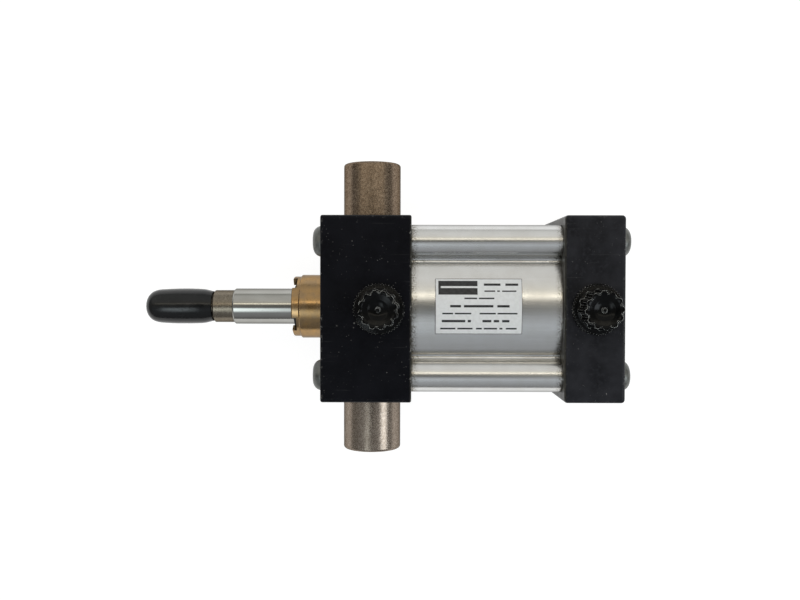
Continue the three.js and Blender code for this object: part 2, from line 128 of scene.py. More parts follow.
PORT_R = 8.5
PORT_FLOOR = 20.0
PORT_THREAD_DEPTH = 0.6
PORT_FLARE = 1.1
PASSAGE_R, PASSAGE_Z = 2.8, 24.0
HEAD_PORT_X = sum(extent("head_port_plug", X)) / 2
CAP_PORT_X = sum(extent("cap_port_plug", X)) / 2

SCREW_R = 3.95
SCREW_HOLE_R = SCREW_R + 0.35
SCREW_HEAD_R = 6.45
SCREW_HEAD_HEIGHT = 3.65
SCREW_CROWN_R = 2.9
SCREW_CHAMFER = 0.8
SOCKET_ACROSS = 4.76
SOCKET_DEPTH = 2.4
SCREW_BITE = 18.0

# How many flats go round a turned part.
LARGE, MEDIUM, SMALL = 128, 96, 32
SCREW_FLATS, SOCKET_MOUTH_FLATS, HEXAGON = 64, 48, 6


# ---- Shapes ----

def new_object(name, data):
    """An object in the scene that holds the given mesh, light or camera."""
    obj = bpy.data.objects.new(name, data)
    bpy.context.scene.collection.objects.link(obj)
    return obj


def scratch(verts, faces):
    """A loose object with the given mesh. Its faces have to run anticlockwise as seen from outside."""
    mesh = bpy.data.meshes.new("scratch")
    mesh.from_pydata(verts, [], faces)
    return new_object("scratch", mesh)


def turned(profile, steps=LARGE, relief=None):
    """Profile points (x, radius) turned round the X axis. relief(x, radius, angle) is how deep to cut there.

    A profile whose first radius isn't 0 closes on itself, as a ring.
    """
    ring = profile[0][1] > 0
    verts, rows = [], []
    for x, radius in profile:
        rows.append(len(verts))
        for i in range(steps if radius > 0 else 1):
            angle = TAU * i / steps
            r = radius - (relief(x, radius, angle) if relief and radius > 0 else 0)
            verts.append((x, r * math.cos(angle), r * math.sin(angle)))

    def vertex(k, i):
        return rows[k] + (i % steps if profile[k][1] > 0 else 0)

    faces = []
    pairs = [(k, k + 1) for k in range(len(profile) - 1)]
    if ring:
        pairs.append((len(profile) - 1, 0))
    for a, b in pairs:
        for i in range(steps):
            corners = [vertex(a, i), vertex(a, i + 1), vertex(b, i + 1), vertex(b, i)]
            faces.append(list(dict.fromkeys(corners)))
    if signed_area(profile) > 0:
        faces = [face[::-1] for face in faces]
    return scratch(verts, faces)


def signed_area(points):
    """Twice the area that a closed profile encloses; positive when it runs anticlockwise."""
    return sum(a[0] * b[1] - b[0] * a[1] for a, b in zip(points, points[1:] + points[:1]))


def shaft(radius, start, end, steps=MEDIUM):
    """A plain round bar along X."""
    return turned([(start, 0), (start, radius), (end, radius), (end, 0)], steps)


def arc(cx, cy, radius, start, end, steps):
    """Points along an arc, from one angle to another."""
    angles = [start + (end - start) * i / steps for i in range(steps + 1)]
    return [(cx + radius * math.cos(a), cy + radius * math.sin(a)) for a in angles]


def lofted(levels):
    """A solid through outlines of (y, z) points, one at each X. levels is a list of (x, outline)."""
    n = len(levels[0][1])
    verts = [(x, y, z) for x, outline in levels for y, z in outline]
    faces = [list(range(n))[::-1], [(len(levels) - 1) * n + i for i in range(n)]]
    for k in range(len(levels) - 1):
        for i in range(n):
            a, b = k * n + i, k * n + (i + 1) % n
            faces.append([a, b, b + n, a + n])
    return scratch(verts, faces)


def rounded_square(side, radius, steps=10):
    """The outline of a square with rounded corners."""
    c = side / 2 - radius
    points = []
    for i, (sy, sz) in enumerate(CORNERS):
        points += arc(sy * c, sz * c, radius, i * TAU / 4, (i + 1) * TAU / 4, steps)
    return points


def block(start, end, bevel):
    """A square block with rounded long edges and a rounded bevel round each end face."""
    steps = 5
    levels = []
    for i in range(steps + 1):
        angle = TAU / 4 * i / steps
        inset = bevel * (1 - math.sin(angle))
        depth = bevel * (1 - math.cos(angle))
        levels.append((start + depth, rounded_square(BLOCK - 2 * inset, BLOCK_EDGE_R - inset)))
    levels += [(start + end - x, outline) for x, outline in reversed(levels)]
    return lofted(levels)


def moved(obj, matrix):
    """The object, with its mesh moved."""
    obj.data.transform(matrix)
    return obj


def turn_to(axis):
    """The turn that takes +X to the given direction."""
    return {
        "Z": Matrix.Rotation(-TAU / 4, 4, "Y"),
        "Y": Matrix.Rotation(TAU / 4, 4, "Z"),
        "-Y": Matrix.Rotation(-TAU / 4, 4, "Z"),
        "-X": Matrix.Rotation(TAU / 2, 4, "Z"),
    }[axis]


def combined(base, tools, operation):
    """base with each tool cut from it ('DIFFERENCE') or joined to it ('UNION')."""
    for tool in tools:
        modifier = base.modifiers.new("combine", "BOOLEAN")
        modifier.operation = operation
        modifier.solver = "EXACT"
        modifier.object = tool
    evaluated = base.evaluated_get(bpy.context.evaluated_depsgraph_get())
    mesh = bpy.data.meshes.new_from_object(evaluated)
    base.modifiers.clear()
    base.data = mesh
    for tool in tools:
        bpy.data.objects.remove(tool)
    return base


def cut(base, *tools):
    """base with each tool cut from it."""
    return combined(base, tools, "DIFFERENCE")


def corner_holes(radius, start, end):
    """The tools that cut a hole along X at each corner."""
    holes = []
    for sy, sz in CORNERS:
        place = Matrix.Translation((0, sy * CORNER, sz * CORNER))
        holes.append(moved(shaft(radius, start, end, SMALL), place))
    return holes


def zigzag(start, end, pitch, inner, outer):
    """Profile points of an internal thread, cut as rings."""
    points, x = [], start
    while x + pitch <= end:
        points += [(x, inner), (x + pitch / 2, outer)]
        x += pitch
    return points + [(x, inner)]


def port(x, mouth):
    """The tools that cut a threaded port in a block's top, and a passage from it along X to the mouth."""
    thread = zigzag(PORT_FLOOR + 2, AXIS_Z - 1.2, THREAD_PITCH, PORT_R, PORT_R + PORT_THREAD_DEPTH)
    above, flared = AXIS_Z + PAST, PORT_R + PORT_FLARE
    socket = turned([
        (PORT_FLOOR, 0), (PORT_FLOOR, PORT_R), *thread,
        (AXIS_Z - 0.9, PORT_R), (AXIS_Z + 0.2, flared), (above, flared), (above, 0),
    ], MEDIUM)
    moved(socket, Matrix.Translation((x, 0, 0)) @ turn_to("Z"))
    passage = shaft(PASSAGE_R, min(x, mouth), max(x, mouth), SMALL)
    return socket, moved(passage, Matrix.Translation((0, 0, PASSAGE_Z)))


def spigot(face, inward):
    """The round boss that centres the barrel on a block. inward is +1 or -1, the way it points along X."""
    groove_from, groove_to = SPIGOT_GROOVE
    boss = turned([
        (-PAST, 0), (-PAST, SPIGOT_R), (groove_from, SPIGOT_R), (groove_from, SPIGOT_GROOVE_R),
        (groove_to, SPIGOT_GROOVE_R), (groove_to, SPIGOT_R),
        (SPIGOT - SPIGOT_CHAMFER, SPIGOT_R), (SPIGOT, SPIGOT_R - SPIGOT_CHAMFER), (SPIGOT, 0),
    ])
    if inward < 0:
        moved(boss, turn_to("-X"))
    return moved(boss, Matrix.Translation((face, 0, 0)))


# ---- Materials ----

def colour(rgb):
    """An opaque colour."""
    return (*rgb, 1.0)


def feed(tree, socket, value):
    """Links another node's output to an input, or sets the input's value."""
    if isinstance(value, bpy.types.NodeSocket):
        tree.links.new(value, socket)
    else:
        socket.default_value = value


def add_node(tree, kind, inputs=(), **settings):
    """A shader node with the given settings and inputs."""
    node = tree.nodes.new(kind)
    for key, value in settings.items():
        setattr(node, key, value)
    for socket, value in dict(inputs).items():
        feed(tree, node.inputs[socket], value)
    return node


def remap(tree, value, low, high, to_low=0, to_high=1):
    """value taken from the range low to high into the range to_low to to_high, and held at its ends."""
    inputs = {"Value": value, "From Min": low, "From Max": high, "To Min": to_low, "To Max": to_high}
    return add_node(tree, "ShaderNodeMapRange", inputs).outputs["Result"]


def calculate(tree, operation, *values):
    """The result of a math node."""
    return add_node(tree, "ShaderNodeMath", dict(enumerate(values)), operation=operation).outputs[0]


def mixed(tree, factor, a, b):
    """A mix of two colours."""
    return add_node(tree, "ShaderNodeMix", {0: factor, 6: a, 7: b}, data_type="RGBA").outputs[2]


class Finish:
    """A procedural material. Its patterns are laid out in millimetres of the piece's own frame.

    uniform holds the shader's plain values, by input name with _ for each space.
    """

    def __init__(self, name, **uniform):
        self.material = bpy.data.materials.new(name)
        self.material.use_nodes = True
        self.tree = self.material.node_tree
        self.shader = self.tree.nodes["Principled BSDF"]
        for socket, value in uniform.items():
            self.shader.inputs[socket.replace("_", " ")].default_value = value
        self.place = self.node("ShaderNodeTexCoord").outputs["Object"]

    def node(self, kind, inputs=(), **settings):
        return add_node(self.tree, kind, inputs, **settings)

    def scaled(self, size, stretch):
        """Coordinates in which one unit is size millimetres, and stretch times that along an axis."""
        scale = [1 / (MM * size * s) for s in stretch]
        return self.node("ShaderNodeMapping", {"Vector": self.place, "Scale": scale}).outputs["Vector"]

    def noise(self, size, stretch=(1, 1, 1), detail=3, low=0.35, high=0.65):
        """Smooth blotches of about the given size, from 0 to 1."""
        vector = self.scaled(size, stretch)
        noise = self.node("ShaderNodeTexNoise", {"Vector": vector, "Scale": 1, "Detail": detail})
        return self.span(noise.outputs["Fac"], low, high)

    def specks(self, spacing, radius, share):
        """Round specks up to radius across, in a share of the cells of a grid with the given spacing."""
        vector = self.scaled(spacing, (1, 1, 1))
        cells = self.node("ShaderNodeTexVoronoi", {"Vector": vector, "Scale": 1})
        dot = self.span(cells.outputs["Distance"], radius / spacing, 0.4 * radius / spacing)
        pick = self.node("ShaderNodeSeparateColor", {"Color": cells.outputs["Color"]})
        chosen = self.span(pick.outputs["Red"], share, share * 0.7)
        return self.times(dot, chosen)

    def span(self, value, low, high, to_low=0, to_high=1):
        """0 to 1, or to_low to to_high, as value goes from low to high."""
        return remap(self.tree, value, low, high, to_low, to_high)

    def math(self, operation, *values):
        return calculate(self.tree, operation, *values)

    def times(self, *values):
        """All the values multiplied."""
        result = values[0]
        for value in values[1:]:
            result = self.math("MULTIPLY", result, value)
        return result

    def either(self, *values):
        """The largest of the values."""
        result = values[0]
        for value in values[1:]:
            result = self.math("MAXIMUM", result, value)
        return result

    def part(self, axis):
        """One coordinate of the surface point, in millimetres of the row frame."""
        separate = self.node("ShaderNodeSeparateXYZ", {"Vector": self.place})
        return self.times(separate.outputs[axis], 1 / MM)

    def crease(self, reach, open=0.85, shut=0.35):
        """1 deep in a crease narrower than reach, and 0 in the open.

        open and shut are the shares of the sky seen from the open surface and from the crease.
        """
        occlusion = self.node("ShaderNodeAmbientOcclusion", {"Distance": reach * MM}, samples=8)
        return self.span(occlusion.outputs["AO"], open, shut)

    def edge(self, radius):
        """1 on an edge, out to about the given radius."""
        bevel = self.node("ShaderNodeBevel", {"Radius": radius * MM}, samples=4)
        plain = self.node("ShaderNodeNewGeometry").outputs["Normal"]
        both = {0: bevel.outputs["Normal"], 1: plain}
        dot = self.node("ShaderNodeVectorMath", both, operation="DOT_PRODUCT").outputs["Value"]
        return self.span(dot, 0.99, 0.9)

    def mix(self, factor, a, b):
        """Colour a where factor is 0 and colour b where it is 1."""
        a, b = (colour(value) if isinstance(value, tuple) else value for value in (a, b))
        return mixed(self.tree, factor, a, b)

    def finish(self, base, roughness, relief=None, depth=0.01):
        """Wires up the shader. relief is a height from 0 to 1, and depth is what 1 means in millimetres."""
        feed(self.tree, self.shader.inputs["Base Color"], base)
        feed(self.tree, self.shader.inputs["Roughness"], roughness)
        if relief is not None:
            bump = self.node("ShaderNodeBump", {"Height": relief, "Distance": depth * MM, "Strength": 1.0})
            self.tree.links.new(bump.outputs["Normal"], self.shader.inputs["Normal"])
        return self.material


# How much of its shine a metal keeps where it turns away: an oil-dulled one doesn't flare there.
DULL_RIM = colour((0.35, 0.35, 0.35))
SOFT_RIM = colour((0.6, 0.6, 0.6))


def black_anodised(name, dark, cloudy, shine, soil_and_highlight):
    """Dyed anodising, brushed along X, with dust, scuffs, edges made paler (partly wear, partly a painted
    highlight), and a paler olive rim by the barrel, partly oil dirt and partly a painted highlight of its
    rolled edge.

    The last argument is the pair of X between which that rim fades in.
    """
    f = Finish(name, Specular_IOR_Level=shine)
    brushed = f.noise(0.5, (24, 1, 1), detail=4)
    cloud = f.noise(9, detail=4)
    mottle = f.noise(1.3, detail=3, low=0.42, high=0.72)
    dust = f.either(f.specks(2.4, 0.25, 0.45), f.specks(0.9, 0.14, 0.30), f.specks(6.5, 0.45, 0.28))
    dust = f.times(dust, f.noise(15, low=0.44, high=0.60), f.noise(3, low=0.36, high=0.54))
    edges = f.edge(1.1)
    # Paler edges: partly wear, partly a painted edge highlight.
    wear_and_highlight = f.times(edges, f.noise(2.5, low=0.38, high=0.6))
    chips = f.times(edges, f.noise(1.5, detail=2, low=0.61, high=0.64))
    hairlines = f.noise(0.7, (40, 1, 1), detail=1, low=0.68, high=0.73)
    hairlines = f.times(hairlines, f.noise(11, low=0.48, high=0.6))
    base = f.mix(f.either(f.times(cloud, 0.8), f.times(mottle, 0.7)), dark, cloudy)
    # Mixes in the paler edges: wear and a painted edge highlight.
    base = f.mix(f.times(wear_and_highlight, 0.45), base, (0.055, 0.054, 0.052))
    base = f.mix(f.times(hairlines, 0.5), base, (0.035, 0.035, 0.037))
    # A paler olive rim on the face by the barrel: partly oil dirt, partly a painted highlight of the rolled
    # edge.
    oil_and_highlight = f.times(f.span(f.part("X"), *soil_and_highlight), f.noise(1.2, detail=4, low=0.25, high=0.55), 0.5)
    base = f.mix(oil_and_highlight, base, (0.085, 0.080, 0.060))
    base = f.mix(f.times(dust, 0.85), base, (0.34, 0.335, 0.32))
    base = f.mix(chips, base, (0.46, 0.45, 0.43))
    roughness = f.span(f.math("ADD", f.times(cloud, 0.5), f.times(brushed, 0.5)), 0, 1, 0.34, 0.48)
    return f.finish(base, roughness, f.math("ADD", f.times(brushed, 0.5), dust), 0.008)


def drawn_aluminium():
    """An extrusion: die lines along X, soft tarnish, dirt where it meets its neighbours, and painted shade in
    its creases.
    """
    f = Finish("drawn_aluminium", Metallic=1.0, Specular_Tint=DULL_RIM)
    lines = f.noise(0.30, (120, 1, 1), detail=3)
    broad = f.noise(2.2, (60, 1, 1), detail=2)
    cloud = f.noise(7, detail=3)
    x = f.part("X")

    def near_ends(far, near):
        """0 at far from the barrel's nearer end, rising to 1 at near."""
        return f.either(
            f.span(x, BARREL_FRONT + far, BARREL_FRONT + near),
            f.span(x, BARREL_BACK - far, BARREL_BACK - near),
        )

    ends = near_ends(10, 3)
    rims = near_ends(1.1, 0.3)
    grit = f.either(f.noise(0.5, detail=4, low=0.48, high=0.60), f.specks(1.3, 0.34, 0.5))
    # Painted shade: an occlusion mask darkens the fillets all along, and gates the dirt specks near the ends.
    seam_shade = f.crease(3.5, 0.96, 0.70)
    grime_and_shade = f.times(seam_shade, f.either(f.times(ends, grit), f.times(f.noise(2, (9, 1, 1)), 0.45)))
    grime_and_shade = f.either(grime_and_shade, f.times(rims, f.noise(1.5, detail=4, low=0.3, high=0.6), 0.8))
    marks = f.times(f.specks(4.5, 0.26, 0.30), f.noise(10, low=0.46, high=0.60))
    base = f.mix(f.times(f.math("ADD", broad, lines), 0.5), (0.685, 0.685, 0.672), (0.725, 0.727, 0.725))
    base = f.mix(f.times(cloud, 0.30), base, (0.60, 0.59, 0.555))
    # Dark brown: dirt at the ends, and painted shade in the creases.
    base = f.mix(f.times(grime_and_shade, 0.85), base, (0.10, 0.078, 0.042))
    base = f.mix(f.times(marks, 0.7), base, (0.13, 0.12, 0.10))
    roughness = f.span(f.math("ADD", f.times(lines, 0.5), f.times(cloud, 0.5)), 0, 1, 0.19, 0.25)
    return f.finish(base, roughness, f.math("ADD", f.times(lines, 0.6), f.times(broad, 0.4)), 0.0007)


def bearing_bronze():
    """Turned bronze: fine tool rings round X and patches of brown tarnish."""
    f = Finish("bearing_bronze", Metallic=1.0, Specular_Tint=SOFT_RIM)
    rings = f.noise(0.22, (1, 40, 40), detail=2)
    cloud = f.noise(4, detail=4)
    stain = f.times(f.noise(1.3, detail=4, low=0.58, high=0.76), 0.4)
    base = f.mix(cloud, (0.400, 0.250, 0.110), (0.325, 0.222, 0.122))
    base = f.mix(stain, base, (0.16, 0.10, 0.05))
    base = f.mix(f.times(rings, 0.12), base, (0.20, 0.13, 0.06))
    # Painted shade: darker deep in creases.
    base = f.mix(f.times(f.crease(2.5), 0.75), base, (0.060, 0.040, 0.024))
    return f.finish(base, f.span(cloud, 0, 1, 0.17, 0.25), rings, 0.0012)


def hard_chrome():
    """Ground hard chrome with faint wipe marks."""
    f = Finish("hard_chrome", Metallic=1.0, Specular_Tint=DULL_RIM)
    smear = f.noise(3.5, (3, 1, 1), detail=4)
    scuffs = f.noise(0.3, (14, 1, 1), detail=3, low=0.6, high=0.75)
    pits = f.times(f.specks(2.1, 0.16, 0.3), f.noise(7, low=0.45, high=0.6))
    base = f.mix(smear, (0.375, 0.370, 0.345), (0.420, 0.416, 0.392))
    base = f.mix(f.times(scuffs, 0.2), base, (0.27, 0.265, 0.25))
    base = f.mix(f.times(pits, 0.6), base, (0.12, 0.11, 0.09))
    return f.finish(base, f.span(smear, 0, 1, 0.07, 0.12), scuffs, 0.0015)


def browned_steel(name, along, size, pale, brown):
    """Turned steel with a brown patina. along stretches its streaks, and size scales its whole pattern."""
    f = Finish(name, Metallic=1.0, Specular_Tint=DULL_RIM)
    streaks = f.noise(0.7 * size, along, detail=5)
    grain = f.noise(0.34 * size, detail=4, low=0.38, high=0.62)
    cloud = f.noise(5 * size, detail=4)
    pits = f.specks(1.0 * size, 0.24 * size, 0.3)
    worn = f.math("ADD", f.times(streaks, 0.4), f.times(grain, 0.5))
    between = tuple(0.45 * b + 0.4 * p for b, p in zip(brown, pale))
    pit_brown = tuple(0.4 * b for b in brown)
    # Painted shade with some dirt: near black deep in creases, broken up by noise.
    grime_and_shade = f.times(f.crease(5), f.noise(1.2, detail=4, low=0.40, high=0.56))
    base = f.mix(f.span(worn, 0.15, 0.8), brown, pale)
    base = f.mix(f.times(cloud, 0.4), base, between)
    base = f.mix(f.times(pits, 0.6), base, pit_brown)
    # Mixes in that painted shade and dirt.
    base = f.mix(grime_and_shade, base, (0.012, 0.009, 0.007))
    relief = f.math("SUBTRACT", f.times(grain, 0.6), pits)
    return f.finish(base, f.span(grain, 0, 1, 0.20, 0.36), relief, 0.008)


def black_oxide():
    """Blackened steel with a faint mottling of oil, and edges painted paler as a highlight."""
    f = Finish("black_oxide", Metallic=0.85)
    cloud = f.noise(2.2, detail=4)
    grain = f.noise(0.25, detail=2)
    base = f.mix(cloud, (0.105, 0.110, 0.104), (0.180, 0.183, 0.172))
    # Painted highlight: paler along the edges.
    base = f.mix(f.times(f.edge(0.3), 0.5), base, (0.22, 0.22, 0.21))
    return f.finish(base, f.span(cloud, 0, 1, 0.34, 0.48), grain, 0.005)


def dipped_vinyl():
    """Soft vinyl with a wet-looking skin that wavers a little."""
    f = Finish("dipped_vinyl", Specular_IOR_Level=0.36)
    waver = f.noise(5, (1.6, 1, 1), detail=2)
    fine = f.noise(0.8, detail=3)
    scuff = f.times(f.noise(1.1, (3, 1, 1), detail=4, low=0.58, high=0.72), 0.35)
    creases = f.noise(0.8, (0.6, 6, 6), detail=1, low=0.68, high=0.72)
    creases = f.times(creases, f.noise(6, low=0.5, high=0.6))
    base = f.mix(waver, (0.0025, 0.0030, 0.0036), (0.0060, 0.0066, 0.0074))
    base = f.mix(scuff, base, (0.022, 0.023, 0.024))
    skin = f.math("ADD", f.times(waver, 0.9), f.times(fine, 0.05))
    relief = f.math("SUBTRACT", skin, f.times(creases, 0.8))
    return f.finish(base, f.span(fine, 0, 1, 0.13, 0.22), relief, 0.035)


def moulded_plastic():
    """Black moulded plastic: glossy, with a little dust, and pale edges that are partly scuffs and partly a
    painted highlight.
    """
    f = Finish("moulded_plastic", Specular_IOR_Level=0.11)
    cloud = f.noise(2.5, detail=4)
    grain = f.noise(0.18, detail=2)
    dust = f.times(f.specks(0.9, 0.11, 0.2), f.noise(4, low=0.48, high=0.68))
    base = f.mix(cloud, (0.0012, 0.0013, 0.0014), (0.0030, 0.0032, 0.0034))
    base = f.mix(f.times(dust, 0.45), base, (0.14, 0.14, 0.135))
    # Pale edges: partly scuffs, partly a painted highlight.
    scuffs_and_highlight = f.times(f.edge(0.28), f.noise(2.2, low=0.36, high=0.54), 0.85)
    base = f.mix(scuffs_and_highlight, base, (0.70, 0.71, 0.69))
    return f.finish(base, f.span(cloud, 0, 1, 0.08, 0.17), grain, 0.003)


def printed_film(name, base_rgb, faded_rgb):
    """Coated label film, or the ink on it."""
    f = Finish(name, Specular_IOR_Level=0.4)
    blot = f.noise(1.4, detail=4)
    fibre = f.noise(0.12, detail=2)
    base = f.mix(f.times(blot, 0.6), base_rgb, faded_rgb)
    return f.finish(base, f.span(blot, 0, 1, 0.34, 0.46), fibre, 0.002)


def seal_rubber():
    """Matt black rubber with a faint bloom."""
    f = Finish("seal_rubber", Specular_IOR_Level=0.35)
    bloom = f.noise(1.8, detail=4)
    grain = f.noise(0.2, detail=3)
    base = f.mix(bloom, (0.010, 0.010, 0.010), (0.026, 0.025, 0.024))
    return f.finish(base, f.span(bloom, 0, 1, 0.5, 0.7), grain, 0.01)


def bearing_plastic():
    """Brown filled plastic, turned round X."""
    f = Finish("bearing_plastic", Specular_IOR_Level=0.4)
    flecks = f.noise(0.5, detail=4)
    rings = f.noise(0.25, (1, 40, 40), detail=2)
    base = f.mix(flecks, (0.11, 0.060, 0.028), (0.19, 0.110, 0.055))
    return f.finish(base, f.span(flecks, 0, 1, 0.45, 0.6), rings, 0.006)


# ---- Pieces ----

TO_ROW = Matrix.Translation((0, 0, AXIS_Z * MM)) @ Matrix.Scale(MM, 4)
SMOOTH_ANGLE = math.radians(32)


def piece(name, obj, material, body, slot, *nodes):
    """Makes a shape a finished piece that stands for CAD nodes and moves with a body.

    A shape that has materials of its own keeps them.
    """
    obj.name = name
    obj.data.name = name
    obj.data.transform(TO_ROW)
    if not obj.data.materials:
        obj.data.materials.append(material)
    obj.data.shade_smooth()
    obj.data.set_sharp_from_angle(angle=SMOOTH_ANGLE)
    weighted = obj.modifiers.new("weighted_normals", "WEIGHTED_NORMAL")
    weighted.keep_sharp = True
    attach(obj, body)
    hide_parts(*nodes)
    return obj


def trunnion_seat():
    """The tool that cuts one trunnion's seat and stud hole, along +X."""
    seat, stud = TRUNNION_R + TRUNNION_GAP, STUD_R + TRUNNION_GAP
    outside, mouth = AXIS_Z + PAST, seat + CHAMFER
    return turned([
        (TRUNNION_STUD, 0), (TRUNNION_STUD, stud), (TRUNNION_SEAT, stud), (TRUNNION_SEAT, seat),
        (AXIS_Z - 0.4, seat), (AXIS_Z + 0.1, mouth), (outside, mouth), (outside, 0),
    ], MEDIUM)


def head():
    """The rod-end block: the gland's bore, two trunnion seats, a port, a spigot and the screw holes."""
    bore, pilot = GLAND_R + RUN, GLAND_PILOT_R + RUN
    before, after = HEAD_FRONT - PAST, HEAD_BACK + SPIGOT + PAST
    gland_tool = turned([
        (before, 0), (before, bore + CHAMFER), (HEAD_FRONT, bore + CHAMFER), (HEAD_FRONT + CHAMFER, bore),
        (GLAND_STEP + FIT, bore), (GLAND_STEP + FIT, pilot), (after, pilot), (after, 0),
    ])
    solid = combined(block(HEAD_FRONT, HEAD_BACK, HEAD_BEVEL), [spigot(HEAD_BACK, 1)], "UNION")
    return cut(
        solid,
        gland_tool,
        *[moved(trunnion_seat(), turn_to(way)) for way in ("Y", "-Y")],
        *port(HEAD_PORT_X, after),
        *corner_holes(SCREW_HOLE_R, before, HEAD_BACK + PAST),
    )


def cap():
    """The cap-end block: a hollow for the piston's nut, a port, a spigot and the screw holes."""
    before = CAP_FRONT - SPIGOT - PAST
    solid = combined(block(CAP_FRONT, CAP_BACK, CAP_BEVEL), [spigot(CAP_FRONT, -1)], "UNION")
    return cut(
        solid,
        shaft(NUT_POCKET_R, before, CAP_FRONT + PAST),
        *port(CAP_PORT_X, before),
        *corner_holes(SCREW_HOLE_R, CAP_FRONT - PAST, CAP_BACK + PAST),
    )


def barrel_outline():
    """A circle with a round tube at each corner, blended in by a small fillet on either side."""
    reach = CORNER * math.sqrt(2)
    to_fillet, tube_to_fillet = BODY_R + TUBE_FILLET, TUBE_R + TUBE_FILLET
    spread = math.acos((to_fillet**2 + reach**2 - tube_to_fillet**2) / (2 * to_fillet * reach))
    lean = math.acos((tube_to_fillet**2 + reach**2 - to_fillet**2) / (2 * tube_to_fillet * reach))
    points = []
    for i, (sy, sz) in enumerate(CORNERS):
        middle = (i + 0.5) * TAU / 4
        before, after = middle - spread, middle + spread
        tube_start = middle - TAU / 2 + lean
        tube_end = middle + TAU / 2 - lean
        first_fillet = (to_fillet * math.cos(before), to_fillet * math.sin(before))
        second_fillet = (to_fillet * math.cos(after), to_fillet * math.sin(after))
        points += arc(*first_fillet, TUBE_FILLET, before + TAU / 2, tube_start + TAU / 2, 6)[:-1]
        points += arc(sy * CORNER, sz * CORNER, TUBE_R, tube_start, tube_end, 40)[:-1]
        points += arc(*second_fillet, TUBE_FILLET, tube_end - TAU / 2, after - TAU / 2, 6)[:-1]
        points += arc(0, 0, BODY_R, after, middle + TAU / 4 - spread, 24)[:-1]
    return points


def barrel():
    """The extrusion, with its bore and a screw channel in each corner tube."""
    outline = barrel_outline()
    solid = lofted([(BARREL_FRONT, outline), (BARREL_BACK, outline)])
    before, after = BARREL_FRONT - PAST, BARREL_BACK + PAST
    return cut(solid, shaft(BORE_R, before, after, LARGE), *corner_holes(CHANNEL_R, before, after))


def trunnion(way):
    """A pin with a plain, unthreaded stud at its root, a rounded end and a lathe centre in it."""
    end, rounding = TRUNNION_END, TRUNNION_ROUNDING
    rounded = [(end - rounding + x, TRUNNION_R - rounding + r) for r, x in arc(0, 0, rounding, 0, TAU / 4, 5)]
    lathe_centre = [(end, 2.6), (end - 0.6, 2.2), (end - 2.2, 1.1), (end - 4, 0)]
    pin = turned([
        (TRUNNION_STUD + FIT, 0), (TRUNNION_STUD + FIT, STUD_R - 1), (TRUNNION_STUD + 1, STUD_R),
        (TRUNNION_SEAT + FIT, STUD_R), (TRUNNION_SEAT + FIT, TRUNNION_R - 0.5),
        (TRUNNION_SEAT + 0.6, TRUNNION_R), *rounded, *lathe_centre,
    ])
    return moved(pin, turn_to(way))


def corner_screw(length):
    """A button-head socket screw: its head against X = 0 and its shank along +X."""
    dome = [
        (-SCREW_HEAD_HEIGHT * s, SCREW_CROWN_R + (SCREW_HEAD_R - SCREW_CROWN_R) * c)
        for c, s in arc(0, 0, 1, 0, TAU / 4, 12)
    ]
    screw = turned([
        (length, 0), (length, SCREW_R - SCREW_CHAMFER), (length - SCREW_CHAMFER, SCREW_R), (0, SCREW_R),
        (0, SCREW_HEAD_R - 0.15), *dome, (-SCREW_HEAD_HEIGHT, 0),
    ], SCREW_FLATS)
    corner_r = SOCKET_ACROSS / math.sqrt(3)
    top = -SCREW_HEAD_HEIGHT
    outside, bottom, sunk = top - PAST, top + SOCKET_DEPTH, top + 0.35
    key = turned([(outside, 0), (outside, corner_r), (bottom, corner_r), (bottom + 0.9, 0)], HEXAGON)
    mouth = turned([
        (outside, 0), (outside, corner_r + 0.8), (sunk, corner_r - 0.35), (sunk, 0),
    ], SOCKET_MOUTH_FLATS)
    return cut(screw, key, mouth)


def rectangle(width, length):
    """The outline of a rectangle about the rod axis."""
    y, z = width / 2, length / 2
    return [(-y, -z), (y, -z), (y, z), (-y, z)]


def gland():
    """The bronze cartridge round the rod, with two spanner slots across its nose."""
    bearing = ROD_R + RUN
    groove_from, groove_to = GLAND_GROOVE
    seal_from, seal_to = ROD_SEAL_SEAT
    outside = [
        (GLAND_TIP, WIPER_R + 0.3), (GLAND_TIP, GLAND_NOSE_R - 0.6), (GLAND_TIP + 0.2, GLAND_NOSE_R - 0.2),
        (GLAND_TIP + 0.6, GLAND_NOSE_R), (GLAND_SHOULDER - 0.2, GLAND_NOSE_R),
        (GLAND_SHOULDER, GLAND_NOSE_R + 0.12), (GLAND_SHOULDER + 0.45, GLAND_R - 0.08),
        (GLAND_SHOULDER + 0.7, GLAND_R), (GLAND_STEP, GLAND_R), (GLAND_STEP, GLAND_PILOT_R),
        (groove_from, GLAND_PILOT_R), (groove_from, GLAND_GROOVE_R),
        (groove_to, GLAND_GROOVE_R), (groove_to, GLAND_PILOT_R),
        (GLAND_END - 0.6, GLAND_PILOT_R), (GLAND_END, GLAND_PILOT_R - 0.6),
    ]
    inside = [
        (GLAND_END, bearing), (seal_to, bearing), (seal_to, ROD_SEAL_SEAT_R),
        (seal_from, ROD_SEAL_SEAT_R), (seal_from, bearing), (WIPER_TO, bearing),
        (WIPER_TO, WIPER_SEAT_R), (WIPER_SEAT, WIPER_SEAT_R), (WIPER_SEAT, WIPER_R),
        (GLAND_TIP + 0.3, WIPER_R),
    ]
    across = rectangle(SLOT_WIDTH, 4 * GLAND_R)
    slots = []
    for angle in SLOT_TURNS:
        slot = lofted([(GLAND_TIP - SLOT_DEPTH, across), (GLAND_TIP + SLOT_DEPTH, across)])
        slots.append(moved(slot, Matrix.Rotation(math.radians(-angle - SLOT_TWIST), 4, "X")))
    return cut(turned(outside + inside), *slots)


